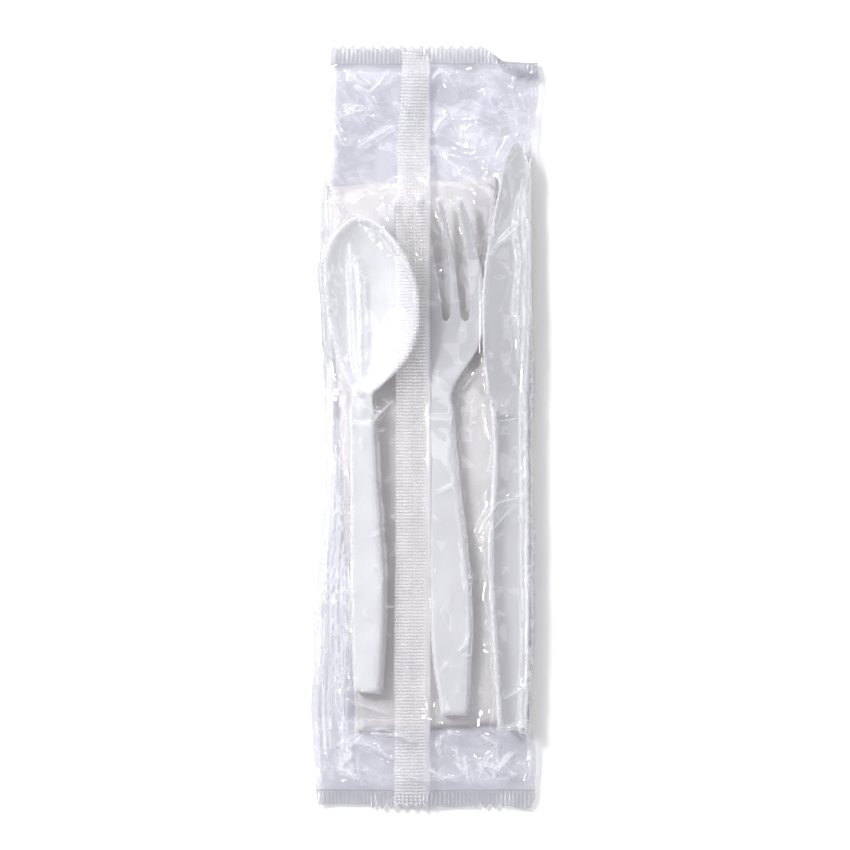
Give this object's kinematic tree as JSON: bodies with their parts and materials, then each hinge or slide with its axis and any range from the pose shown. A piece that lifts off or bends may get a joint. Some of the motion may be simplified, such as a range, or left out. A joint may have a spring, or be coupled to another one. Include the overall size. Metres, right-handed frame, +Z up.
{
  "type": "plastic cutlery pack",
  "caption": "Sealed clear film pouch holding a white plastic spoon, fork and knife on a folded paper napkin, with a crimped fin seam and zig-zag end seals.",
  "frame": {"origin": "centre of the pack's footprint, on the surface that it lies on", "axes": "+Y along the pack from the handle ends to the bowl and tines, +X to the right seen from above, +Z up through the front of the pouch"},
  "size_m": [0.0677, 0.2272, 0.0145],
  "materials": {
    "clear_film": "thin clear polypropylene film, glossy and crumpled",
    "white_plastic": "satin white moulded polypropylene",
    "napkin_paper": "soft off-white tissue paper, finely embossed"
  },
  "bodies": {
    "root": {"film_wrapper": "clear_film", "spoon": "white_plastic", "fork": "white_plastic", "knife": "white_plastic", "napkin": "napkin_paper"}
  },
  "joints": []
}
